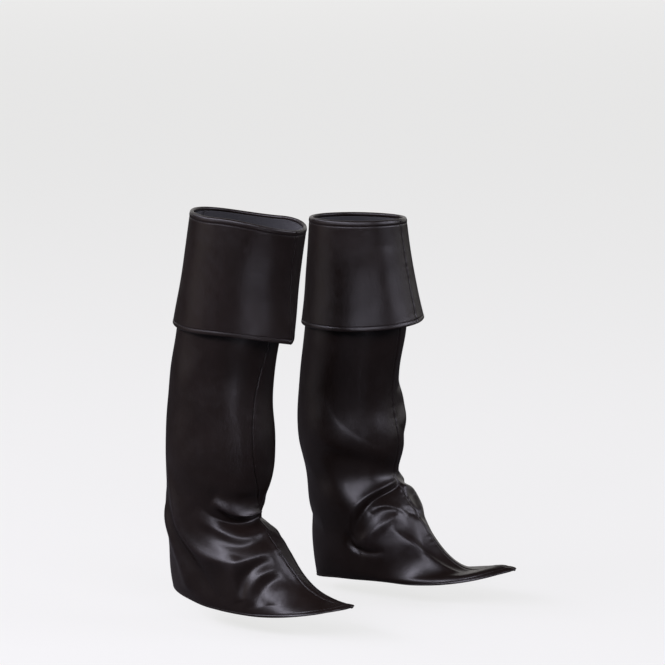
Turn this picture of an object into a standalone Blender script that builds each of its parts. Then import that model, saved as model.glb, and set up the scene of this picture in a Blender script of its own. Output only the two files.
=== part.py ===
# Pair of knee-high boot covers in black faux leather, hollow as they stand when worn.
# Each cover is a tube of two panels, seamed up the front and the back, with a
# rounded tongue over the instep and a deep cuff turned down from its top edge.
# Units in the tables are millimetres. Before the last step each cover stands
# on its own axis: x runs forward, y to the wearer's left and z up from the ground.

import math
from collections import namedtuple

import bmesh
import bpy
import numpy as np

# Driving sizes
MILLIMETRE = 0.001
WALL = 1.6  # faux leather with its knit backing
SEAM_GAP = 0.3  # between pieces that are sewn together
HEM_DEPTH = 8.0  # turned and stitched hem round the foot
HEM_WALL = 2.6
CUFF_HEM_DEPTH = 5.0  # rolled lower edge of the cuff
CUFF_HEM_WALL = 3.0
HELD_AT = (69.0, 118.0, 517.0)  # midway between the two top openings

# Spacing of the mesh
PANEL_COLUMNS = 16  # from the front seam to the back seam
CUFF_COLUMNS = 15  # the same on a cuff
RING_SAMPLES = 37  # points read round each section to space the sections out
FOLD_SAMPLES = 40  # points read along each fold's line
PROBE_TURN = 1.5  # how far to each side a surface is read to find where it faces, in degrees
PROBE_DOWN = 1.5  # and how far up and down
SHAFT_STEP = 26.0
ANKLE_STEP = 9.0
ANKLE_FROM = 240.0  # down from the top edge, where the folds begin
FOOT_FROM = 455.0
FOOT_STEP = 15.0
HEM_STEP = 1.5  # height over which the wall thickens into a hem
ROLL_ANGLES = (135, 90, 45)  # places read round the cuff's roll, from the leg side over the top
SHARP_ANGLE = 50  # edges sharper than this keep their crease

# Colour, roughness and metallic of the faux leather
LEATHER_COLOUR = (0.016, 0.014, 0.0145, 1.0)
LEATHER_ROUGHNESS = 0.38
LEATHER_METALLIC = 0.0

# A section across a tube: how far it reaches back, front, right and left of the
# axis, its height at the back, sides and front, how much the right side stands
# higher than the left, how pointed the front and the back are (2 is round) and
# how far the front seam has turned to the left, in degrees.
Section = namedtuple("Section", "back front right left z_back z_side z_front lean nose tail seam")

RIGHT_SHAFT = [
    Section(-11, 131, 70, 70, 535, 527, 514, 5, 2.0, 2.0, 0),
    Section(-22, 115, 69, 69, 465, 458, 449, 3, 2.0, 2.0, 0),
    Section(-38, 95, 68, 68, 385, 381, 374, 0, 2.0, 2.0, -3),
    Section(-50, 83, 68, 68, 315, 313, 309, 0, 2.0, 2.0, -12),
    Section(-56, 86, 68, 68, 255, 254, 252, 0, 2.0, 2.0, -20),
    Section(-58, 86, 67, 67, 215, 214, 211, 0, 2.0, 2.0, -17),
    Section(-58, 78, 63, 63, 182, 181, 178, 0, 2.0, 2.0, -5),
    Section(-60, 67, 60, 60, 142, 140, 146, 0, 2.0, 2.0, 6),
    Section(-60, 101, 58, 58, 112, 108, 119, 0, 2.0, 2.0, -8),
    Section(-59, 140, 55, 55, 74, 66, 76, 0, 1.9, 2.0, -10),
    Section(-58, 175, 53, 53, 55, 42, 55, 0, 1.8, 2.0, -8),
    Section(-57, 220, 50, 50, 42, 27, 48, 0, 1.75, 2.0, 0),
]
RIGHT_CUFF = [
    Section(-14, 134.5, 73.5, 73.5, 538, 530, 517, 6, 2.0, 2.0, 0),
    Section(-27, 126.5, 76, 76, 465, 460, 450, 4, 1.65, 1.9, 0),
    Section(-43, 126, 79, 77.5, 395, 388, 373.5, 2, 1.15, 1.9, 0),
]
LEFT_SHAFT = [
    Section(-59, 62, 63, 63, 502, 502, 503, 2, 2.0, 2.0, 0),
    Section(-64, 64, 65, 65, 440, 440, 440, 0, 2.0, 2.0, 0),
    Section(-68.5, 66, 67, 67, 365, 365, 365, 0, 2.0, 2.0, 0),
    Section(-76, 57, 67, 67, 308, 308, 308, 0, 2.0, 2.0, 0),
    Section(-80.5, 56, 68, 68, 255, 255, 255, 0, 2.0, 2.0, 0),
    Section(-79, 64, 68, 68, 205, 205, 205, 0, 2.0, 2.0, 0),
    Section(-70, 58, 60, 62, 170, 168, 166, 0, 2.0, 2.0, 0),
    Section(-66, 75, 62.5, 61, 132, 132, 138, 0, 2.0, 2.0, 0),
    Section(-64, 100, 58, 58, 98, 93, 106, 0, 2.0, 2.0, 0),
    Section(-62, 127, 55, 55, 62, 58, 72, 0, 1.9, 2.0, 0),
    Section(-61, 174, 53, 53, 38, 38, 49, 0, 1.8, 2.0, 0),
    Section(-60, 217, 51, 51, 23, 32, 59, 0, 1.75, 2.0, 0),
    Section(-60, 240, 49, 49, 16, 29, 57, 0, 1.7, 2.0, 0),
]
LEFT_CUFF = [
    Section(-62.5, 65.5, 66.5, 66.5, 505, 505, 506, 2, 2.0, 2.0, 0),
    Section(-67, 76, 70, 70, 440, 440, 440, -2, 2.0, 2.0, 0),
    Section(-73.5, 92, 79, 79, 367, 370, 371, -5, 2.0, 2.0, 0),
]

# A fold runs through places on a tube, each given as degrees from the front seam
# (minus is the right side) and millimetres down from the top edge. It stands out by
# its height, or is pressed in where that is negative.
Fold = namedtuple("Fold", "name places width height")

RIGHT_FOLDS = [
    Fold("tuck above the roll", [(-64, 348), (-46, 356), (-28, 360), (12, 360)], 9, -2.5),
    Fold("roll above the ankle", [(-68, 354), (-46, 370), (-28, 384), (-6, 386), (12, 385)], 11, 6.0),
    Fold("ankle crease", [(-80, 364), (-66, 380), (-50, 395), (-30, 403), (2, 401), (34, 400), (70, 391)],
         9, -4.5),
    Fold("upper instep roll", [(-80, 388), (-66, 402), (-51, 415), (-33, 427), (14, 425)], 10, 3.5),
    Fold("lower instep roll", [(-128, 318), (-115, 356), (-105, 390), (-93, 424), (-80, 440), (-66, 450),
                               (-50, 456), (-22, 450), (4, 447)], 11, 5.0),
    Fold("heel valley", [(-138, 350), (-124, 382), (-113, 412), (-101, 450), (-93, 474), (-91, 514)],
         12, -4.0),
    Fold("heel roll", [(-140, 374), (-128, 406), (-119, 440), (-115, 474), (-119, 504)], 11, 2.8),
    Fold("side rib", [(-44, 444), (-54, 456), (-63, 474), (-76, 504)], 8, 2.6),
    Fold("side valley", [(-72, 500), (-64, 484), (-53, 467), (-36, 455), (-14, 449)], 7, -2.6),
    Fold("low rib", [(-70, 508), (-61, 491), (-51, 477), (-35, 463), (-14, 459)], 7, 2.4),
    Fold("inner roll above the ankle", [(14, 384), (60, 368), (100, 354)], 12, 4.0),
    Fold("inner instep roll", [(34, 424), (60, 420), (98, 396)], 10, 4.0),
    Fold("inner instep valley", [(30, 448), (56, 444), (90, 426)], 9, -3.0),
    Fold("inner heel valley", [(132, 366), (116, 404), (96, 444), (74, 478)], 11, -5.0),
    Fold("inner side rib", [(44, 452), (56, 474), (70, 504)], 8, 3.0),
    Fold("back crease", [(-178, 330), (-164, 346), (-146, 362)], 11, -1.8),
    Fold("inner back crease", [(172, 396), (152, 408), (130, 404)], 11, -2.8),
]
LEFT_FOLDS = [
    Fold("slack roll", [(-132, 280), (-76, 292), (-36, 300), (4, 314)], 16, 1.6),
    Fold("tuck above the ankle", [(-118, 308), (-68, 316), (-34, 325), (12, 336)], 13, -3.6),
    Fold("roll above the ankle", [(6, 345), (-20, 353), (-44, 362), (-64, 375), (-77, 392), (-88, 418)],
         12, 4.2),
    Fold("ankle crease", [(4, 363), (-16, 367), (-45, 377), (-66, 395), (-84, 421)], 7, -4.4),
    Fold("upper instep roll", [(-22, 388), (-38, 392), (-54, 400), (-72, 416), (-88, 432)], 10, 4.6),
    Fold("pinch", [(-84, 412), (-90, 424), (-89, 432), (-81, 438), (-60, 438)], 7, -3.6),
    Fold("instep rib", [(-46, 408), (-36, 425), (-30, 442), (-33, 460), (-36, 486)], 8, 4.2),
    Fold("heel shade", [(-118, 316), (-102, 342), (-92, 370), (-87, 404)], 12, -2.2),
    Fold("front slack", [(22, 222), (29, 247), (17, 282)], 12, 6.0),
    Fold("front roll", [(-6, 356), (10, 362), (27, 376), (24, 390), (6, 403)], 9, 6.0),
    Fold("outer tuck above the ankle", [(14, 336), (56, 330), (104, 346)], 12, -4.2),
    Fold("outer roll above the ankle", [(34, 352), (66, 364), (106, 392)], 10, 5.2),
    Fold("outer ankle crease", [(38, 380), (66, 384), (108, 412)], 8, -5.0),
    Fold("outer instep roll", [(24, 404), (56, 408), (98, 438)], 9, 4.4),
    Fold("outer instep valley", [(22, 426), (46, 432), (82, 460)], 8, -3.2),
    Fold("outer side rib", [(34, 430), (44, 462), (56, 500)], 9, 3.6),
    Fold("outer slack crease", [(78, 222), (62, 262), (24, 304)], 14, -3.0),
    Fold("back crease", [(176, 352), (152, 372), (122, 368)], 12, -3.2),
    Fold("inner heel crease", [(-168, 392), (-148, 412), (-120, 410)], 12, -2.6),
]
RIGHT_CUFF_FOLDS = [
    Fold("flat before the seam", [(-38, 8), (-42, 70), (-40, 136)], 16, -1.2),
    Fold("soft round", [(-64, 8), (-68, 70), (-66, 136)], 18, 1.0),
    Fold("flat at the inner side", [(84, 8), (76, 70), (86, 136)], 24, -1.5),
]
LEFT_CUFF_FOLDS = [
    Fold("flat at the inner side", [(-78, 8), (-70, 70), (-76, 132)], 22, -1.2),
    Fold("soft round", [(-30, 30), (-34, 80), (-28, 128)], 18, 1.0),
    Fold("flat at the outer side", [(70, 8), (78, 70), (66, 132)], 24, -1.5),
]

# A cover: where its axis stands, how far it is turned to the left, and its tables.
Cover = namedtuple("Cover", "x y turned shaft shaft_folds cuff cuff_folds")

COVERS = {
    "right": Cover(0, 0, -3.0, RIGHT_SHAFT, RIGHT_FOLDS, RIGHT_CUFF, RIGHT_CUFF_FOLDS),
    "left": Cover(76, 240, 1.0, LEFT_SHAFT, LEFT_FOLDS, LEFT_CUFF, LEFT_CUFF_FOLDS),
}


def unit(vectors):
    """The same directions, one long."""
    return vectors / np.linalg.norm(vectors, axis=-1, keepdims=True)


def section_points(section, turns):
    """Points of one section at the given turns from the front seam, in radians."""
    turned = turns + math.radians(section.seam) * 0.5 * (1 + np.cos(turns))
    cos, sin = np.cos(turned), np.sin(turned)
    middle = (section.front + section.back) / 2
    half_length = (section.front - section.back) / 2
    half_width = np.where(sin < 0, section.right, section.left)
    point = 2 / np.where(cos > 0, section.nose, section.tail)
    end_height = np.where(cos > 0, section.z_front, section.z_back)
    x = middle + half_length * cos
    y = half_width * np.sign(sin) * np.abs(sin) ** point
    z = section.z_side + (end_height - section.z_side) * cos ** 2 - section.lean * sin
    return np.stack([x, y, z], axis=-1)


def curve_shares(knots, places):
    """Share that each knot has in a natural cubic curve, at the given places."""
    count = len(knots)
    gaps = np.diff(knots)
    system = np.eye(count)
    load = np.zeros((count, count))
    for i in range(1, count - 1):
        system[i, i - 1:i + 2] = gaps[i - 1], 2 * (gaps[i - 1] + gaps[i]), gaps[i]
        load[i, i - 1:i + 2] = 6 / gaps[i - 1], -6 / gaps[i - 1] - 6 / gaps[i], 6 / gaps[i]
    bend = np.linalg.solve(system, load)
    low = np.clip(np.searchsorted(knots, places) - 1, 0, count - 2)
    gap = gaps[low][:, None]
    after = (places - knots[low])[:, None] / gap
    before = 1 - after
    shares = before * np.eye(count)[low] + after * np.eye(count)[low + 1]
    curving = (before ** 3 - before) * bend[low] + (after ** 3 - after) * bend[low + 1]
    return shares + curving * gap ** 2 / 6


class Tube:
    """Outer face of a cloth tube, read by its turn from the front seam and its depth."""

    def __init__(self, sections, folds):
        self.sections = sections
        ring = np.linspace(0, 2 * math.pi, RING_SAMPLES)
        rings = np.array([section_points(section, ring) for section in sections])
        steps = np.linalg.norm(np.diff(rings, axis=0), axis=2).mean(axis=1)
        self.knots = np.concatenate([[0.0], np.cumsum(steps)])
        self.depth = self.knots[-1]
        self.lines = [(fold, self.fold_line(fold)) for fold in folds]

    def smooth(self, turns, depths):
        """The tube without its folds."""
        shape = turns.shape
        turns, depths = turns.ravel(), depths.ravel()
        rings = np.array([section_points(section, turns) for section in self.sections])
        shares = curve_shares(self.knots, depths)
        return np.einsum("nk,knc->nc", shares, rings).reshape(shape + (3,))

    def fold_line(self, fold):
        """Points along a fold and how strong it is at each, from nothing at its ends."""
        places = np.array(fold.places, float)
        steps = np.linalg.norm(np.diff(places, axis=0), axis=1)
        knots = np.concatenate([[0.0], np.cumsum(steps)])
        run = np.linspace(0, 1, FOLD_SAMPLES)
        path = curve_shares(knots, run * knots[-1]) @ places
        return self.smooth(np.radians(path[:, 0]), path[:, 1]), 1 - np.abs(2 * run - 1) ** 3

    def folded(self, turns, depths):
        """The tube with its folds."""
        points = self.smooth(turns, depths)
        raised = np.zeros(turns.shape)
        for fold, (line, strength) in self.lines:
            away = np.linalg.norm(points[..., None, :] - line, axis=-1)
            nearest = away.argmin(axis=-1)
            shape = np.exp(-(away.min(axis=-1) / fold.width) ** 2)
            raised += fold.height * strength[nearest] * shape
        return points + raised[..., None] * self.facing(self.smooth, turns, depths)[0]

    def facing(self, surface, turns, depths):
        """Outward direction of a surface, and the direction round it."""
        side = math.radians(PROBE_TURN)
        above = np.clip(depths - PROBE_DOWN, 0, None)
        below = np.clip(depths + PROBE_DOWN, None, self.depth)
        around = surface(turns + side, depths) - surface(turns - side, depths)
        down = surface(turns, below) - surface(turns, above)
        return unit(np.cross(down, around)), unit(around)

    def faces(self, turns, depths, walls):
        """Outer and inner face of the wall, and the direction round it."""
        turns, depths = np.meshgrid(turns, depths)
        outer = self.folded(turns, depths)
        outward, around = self.facing(self.folded, turns, depths)
        return outer, outer - walls[:, None, None] * outward, outward, around


def open_seam_edges(faces, around):
    """Draws the first and last column back from the seams by half the gap each."""
    for face in faces:
        face[:, 0] += around[:, 0] * SEAM_GAP / 2
        face[:, -1] -= around[:, -1] * SEAM_GAP / 2


def depths_between(start, end, step):
    return np.linspace(start, end, max(2, round((end - start) / step) + 1))


def shaft_depths(tube):
    """Rows down a panel: wide on the shaft, close over the ankle folds and at the hem."""
    hem = tube.depth - HEM_DEPTH
    shaft = depths_between(0, ANKLE_FROM, SHAFT_STEP)
    ankle = depths_between(ANKLE_FROM, FOOT_FROM, ANKLE_STEP)
    foot = depths_between(FOOT_FROM, hem, FOOT_STEP)
    return np.concatenate([shaft, ankle[1:], foot[1:], [hem + HEM_STEP, tube.depth]])


def to_frame(points, cover):
    """Turns and moves a cover's points to its place, measured from where it is held."""
    turn = math.radians(cover.turned)
    cos, sin = math.cos(turn), math.sin(turn)
    x = cos * points[..., 0] - sin * points[..., 1] + cover.x
    y = sin * points[..., 0] + cos * points[..., 1] + cover.y
    placed = np.stack([x, y, points[..., 2]], axis=-1) - np.array(HELD_AT)
    return placed * MILLIMETRE


def add_face_grid(mesh, points):
    """A grid of quads through rows and columns of points."""
    rows, columns = points.shape[:2]
    made = bmesh.ops.create_grid(mesh, x_segments=columns - 1, y_segments=rows - 1, size=1)
    for index, vertex in enumerate(made["verts"]):
        vertex.co = points[index // columns, index % columns]
    return made["verts"]


def leather(name):
    material = bpy.data.materials.new(name)
    material.use_nodes = True
    shader = material.node_tree.nodes["Principled BSDF"]
    shader.inputs["Base Color"].default_value = LEATHER_COLOUR
    shader.inputs["Roughness"].default_value = LEATHER_ROUGHNESS
    shader.inputs["Metallic"].default_value = LEATHER_METALLIC
    return material


def cloth_piece(name, outer, inner):
    """Closed wall between an outer and an inner grid, joined round its edge."""
    mesh = bmesh.new()
    outer_vertices = add_face_grid(mesh, outer)
    outer_faces = set(mesh.faces)
    inner_vertices = add_face_grid(mesh, inner)
    inner_faces = [face for face in mesh.faces if face not in outer_faces]
    bmesh.ops.reverse_faces(mesh, faces=inner_faces)
    rims = [edge for edge in mesh.edges if edge.is_boundary]
    bmesh.ops.bridge_loops(mesh, edges=rims)
    bmesh.ops.recalc_face_normals(mesh, faces=mesh.faces)
    bmesh.ops.triangulate(mesh, faces=mesh.faces, quad_method="SHORT_EDGE")
    data = bpy.data.meshes.new(name)
    mesh.to_mesh(data)
    mesh.free()
    data.shade_smooth()
    data.set_sharp_from_angle(angle=math.radians(SHARP_ANGLE))
    data.materials.append(leather(name + "_faux_leather"))
    piece = bpy.data.objects.new(name, data)
    bpy.context.scene.collection.objects.link(piece)
    return piece


def make_panel(name, cover, first_turn, last_turn):
    """Half of a shaft and foot, from one seam to the other."""
    tube = Tube(cover.shaft, cover.shaft_folds)
    turns = np.radians(np.linspace(first_turn, last_turn, PANEL_COLUMNS + 1))
    depths = shaft_depths(tube)
    walls = np.where(depths > tube.depth - HEM_DEPTH, HEM_WALL, WALL)
    outer, inner, _, around = tube.faces(turns, depths, walls)
    open_seam_edges((outer, inner), around)
    return cloth_piece(name, to_frame(outer, cover), to_frame(inner, cover))


def make_cuff_half(name, cover, first_turn, last_turn):
    """Strip sewn to the shaft's top edge, rolled outwards over it and hung down outside."""
    shaft = Tube(cover.shaft, cover.shaft_folds)
    cuff = Tube(cover.cuff, cover.cuff_folds)
    turns = np.radians(np.linspace(first_turn, last_turn, CUFF_COLUMNS + 1))
    hem = cuff.depth - CUFF_HEM_DEPTH
    depths = np.concatenate([depths_between(0, hem, SHAFT_STEP), [hem + HEM_STEP, cuff.depth]])
    walls = np.where(depths > hem, CUFF_HEM_WALL, WALL)
    outer, inner, outward, around = cuff.faces(turns, depths, walls)
    top = np.array([0.0])
    shaft_outer, shaft_inner, _, _ = shaft.faces(turns, top, np.array([WALL]))
    # The strip stands on the shaft's edge, then rolls outwards in a half circle
    rise = unit(outer[0] - outer[1])
    base = (shaft_outer[0] + shaft_inner[0]) / 2
    start = base + rise * SEAM_GAP
    fold_out = (outer[0] + inner[0]) / 2
    span = fold_out - base
    span -= (span * rise).sum(axis=-1, keepdims=True) * rise
    fold_in = fold_out - span
    radius = np.linalg.norm(span, axis=-1, keepdims=True) / 2
    aside = unit(span)
    centre = (fold_in + fold_out) / 2
    show, hide = [], []
    for place in (start, fold_in):
        show.append(place - aside * WALL / 2)
        hide.append(place + aside * WALL / 2)
    for degrees in ROLL_ANGLES:
        angle = math.radians(degrees)
        spoke = aside * math.cos(angle) + rise * math.sin(angle)
        show.append(centre + spoke * (radius + WALL / 2))
        hide.append(centre + spoke * (radius - WALL / 2))
    outer = np.concatenate([show, outer])
    inner = np.concatenate([hide, inner])
    around = np.concatenate([np.repeat(around[:1], len(show), axis=0), around])
    open_seam_edges((outer, inner), around)
    return cloth_piece(name, to_frame(outer, cover), to_frame(inner, cover))


def clear_scene():
    for item in list(bpy.data.objects):
        bpy.data.objects.remove(item, do_unlink=True)


def build():
    clear_scene()
    make_panel("right_outer_panel", COVERS["right"], -180, 0)
    make_panel("right_inner_panel", COVERS["right"], 0, 180)
    make_cuff_half("right_cuff_outer", COVERS["right"], -180, 0)
    make_cuff_half("right_cuff_inner", COVERS["right"], 0, 180)
    make_panel("left_inner_panel", COVERS["left"], -180, 0)
    make_panel("left_outer_panel", COVERS["left"], 0, 180)
    make_cuff_half("left_cuff_inner", COVERS["left"], -180, 0)
    make_cuff_half("left_cuff_outer", COVERS["left"], 0, 180)


build()
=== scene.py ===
import math
from collections import namedtuple

import bmesh
import bpy
import numpy as np
from mathutils import Matrix, Vector


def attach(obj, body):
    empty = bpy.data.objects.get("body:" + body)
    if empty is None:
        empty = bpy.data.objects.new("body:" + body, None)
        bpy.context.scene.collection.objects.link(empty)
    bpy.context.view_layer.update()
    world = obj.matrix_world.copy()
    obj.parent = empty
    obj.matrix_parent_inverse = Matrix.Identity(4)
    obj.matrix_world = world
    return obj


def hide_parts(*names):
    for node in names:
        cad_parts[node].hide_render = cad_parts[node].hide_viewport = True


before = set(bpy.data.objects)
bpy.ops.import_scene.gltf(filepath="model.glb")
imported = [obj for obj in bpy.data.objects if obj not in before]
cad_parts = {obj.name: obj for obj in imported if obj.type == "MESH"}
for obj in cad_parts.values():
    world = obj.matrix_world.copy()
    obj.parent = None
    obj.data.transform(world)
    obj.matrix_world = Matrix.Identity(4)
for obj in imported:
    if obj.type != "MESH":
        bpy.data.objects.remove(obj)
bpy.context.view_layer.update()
print("frame loaded:", len(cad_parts), "solids")

# A pair of black faux leather boot covers, hollow as when worn. The tables are in
# millimetres and degrees, measured on each cover's own axis: x forward, y to the
# wearer's left, z up from the ground. Turns are counted from the front seam and minus is
# the right side, downs are counted along the cloth from its top edge.

millimetre = 0.001
heldAt = (69.0, 118.0, 517.0)  # the origin, midway between the two top openings
seamGap = 0.3

# One section across a tube: reach back, front, right and left, height at the back, sides
# and front, how much higher the right side is, how pointed the front and back are (2 is
# round), and how far the front seam has wandered to the left.
section = namedtuple("section", "back front right left zBack zSide zFront lean nose tail seam")

# A fold runs through places, each a turn and a down. It is as wide as given above and below
# its crest, and a power under 2 gives it a sharper crest. A trough has a height below zero.
fold = namedtuple("fold", "name places above below height power")

cloth = {
    "wall": 1.4,
    "hemWall": 2.5,  # doubled along the hems
    "columns": 92,  # steps across each piece, between the close ones beside its seams
    "besideSeam": (0.15, 0.5, 0.95, 1.5, 2.2, 3.1, 4.2, 5.5),  # the close ones, from the seam
    "ringPlaces": 37,  # measured round each section for the distance to the next
    "rowPlaces": 181,  # measured along each row before its columns are spaced
    "foldPlaces": 40,  # along each fold
    "foldReach": 3.0,  # how many of its widths away a fold still lifts the cloth
}

rightCover = {
    "at": (0.0, 0.0),
    "turned": -3.0,
    "shaft": [
        section(-11, 131, 70, 70, 535, 527, 514, 5, 2.0, 2.0, 0),
        section(-22, 115, 69, 69, 465, 458, 449, 3, 2.0, 2.0, 0),
        section(-38, 95, 68, 68, 385, 381, 374, 0, 2.0, 2.0, -3),
        section(-50, 83, 68, 68, 315, 313, 309, 0, 2.0, 2.0, -12),
        section(-56, 86, 68, 68, 255, 254, 252, 0, 2.0, 2.0, -20),
        section(-58, 86, 67, 67, 215, 214, 211, 0, 2.0, 2.0, -17),
        section(-58, 78, 63, 63, 182, 181, 178, 0, 2.0, 2.0, -5),
        section(-60, 67, 60, 60, 142, 140, 146, 0, 2.0, 2.0, 6),
        section(-60, 101, 58, 58, 112, 108, 119, 0, 2.0, 2.0, -8),
        section(-59, 140, 55, 55, 74, 66, 76, 0, 1.75, 2.0, -10),
        section(-58, 175, 53, 53, 55, 42, 55, 0, 1.68, 2.0, -8),
        section(-57, 220, 50, 50, 42, 27, 48, 0, 1.75, 2.0, 0),
    ],
    "cuff": [
        section(-14, 134.5, 73.5, 73.5, 538, 530, 517, 6, 2.0, 2.0, 0),
        section(-27, 126.5, 76, 76, 465, 460, 450, 4, 1.65, 1.9, 0),
        section(-43, 126, 79, 77.5, 395, 388, 373.5, 2, 1.15, 1.9, 0),
    ],
    "folds": [
        fold("tuck above the roll", [(-64, 348), (-46, 356), (-28, 360), (12, 360)], 9, 8, -2.5, 2.0),
        fold("roll above the ankle", [(-60, 361), (-46, 371), (-28, 385), (-6, 388), (13, 387)],
             15, 6, 12.5, 1.6),
        fold("ankle crease", [(-80, 363), (-66, 377), (-50, 390), (-30, 397), (2, 396), (34, 399),
                              (70, 391)], 5, 6, -4.4, 1.0),
        fold("upper instep roll", [(-84, 378), (-67, 393), (-51, 406), (-33, 418), (-2, 415), (14, 415)],
             13, 7, 3.4, 2.0),
        fold("upper instep valley", [(-66, 413), (-54, 421), (-39, 428), (-12, 426), (4, 426)],
             8, 7, -1.6, 2.0),
        fold("lower instep roll", [(-128, 318), (-115, 356), (-105, 390), (-93, 426), (-80, 439), (-66, 446),
                                   (-50, 448), (-22, 443), (4, 440)], 10, 11, 5.0, 1.6),
        fold("heel valley", [(-138, 350), (-124, 382), (-113, 412), (-101, 450), (-93, 474), (-91, 516)],
             9, 13, -4.0, 1.9),
        fold("heel roll", [(-140, 374), (-128, 406), (-119, 440), (-115, 474), (-119, 506)],
             9, 12, 5.0, 1.8),
        fold("side rib", [(-46, 440), (-54, 454), (-62, 474), (-74, 506)], 8, 9, 4.0, 1.6),
        fold("side valley", [(-68, 500), (-60, 482), (-51, 468), (-35, 456), (-14, 451)], 7, 7, -3.2, 1.9),
        fold("low rib", [(-68, 512), (-60, 495), (-50, 481), (-34, 467), (-14, 462)], 7, 7, 3.0, 1.8),
        fold("low valley", [(-60, 512), (-48, 492), (-32, 478), (-16, 472)], 6, 6, -2.2, 1.9),
        fold("lowest rib", [(-52, 510), (-43, 499), (-32, 490), (-18, 484)], 7, 9, 1.2, 1.9),
        fold("inner roll above the ankle", [(14, 386), (60, 368), (100, 354)], 14, 9, 4.6, 1.8),
        fold("inner instep roll", [(34, 424), (60, 420), (98, 396)], 9, 9, 4.0, 1.8),
        fold("inner instep valley", [(30, 448), (56, 444), (90, 426)], 9, 9, -3.0, 1.8),
        fold("inner heel valley", [(132, 366), (116, 404), (96, 444), (74, 478)], 10, 11, -5.0, 1.8),
        fold("inner side rib", [(44, 452), (56, 474), (70, 504)], 8, 8, 3.2, 1.8),
        fold("back crease", [(-178, 330), (-164, 346), (-146, 362)], 12, 10, -1.8, 1.9),
        fold("inner back crease", [(172, 396), (152, 408), (130, 404)], 12, 10, -2.8, 1.9),
    ],
    "cuffFolds": [
        fold("flat before the seam", [(-38, 8), (-42, 70), (-40, 136)], 16, 16, -1.2, 2.0),
        fold("soft round", [(-64, 8), (-68, 70), (-66, 136)], 18, 18, 1.0, 2.0),
        fold("flat at the inner side", [(84, 8), (76, 70), (86, 136)], 24, 24, -1.5, 2.0),
    ],
    "ridge": (392.0, 480.0, 2.5),  # where the front seam stands up, from and to, and how far
}

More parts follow.
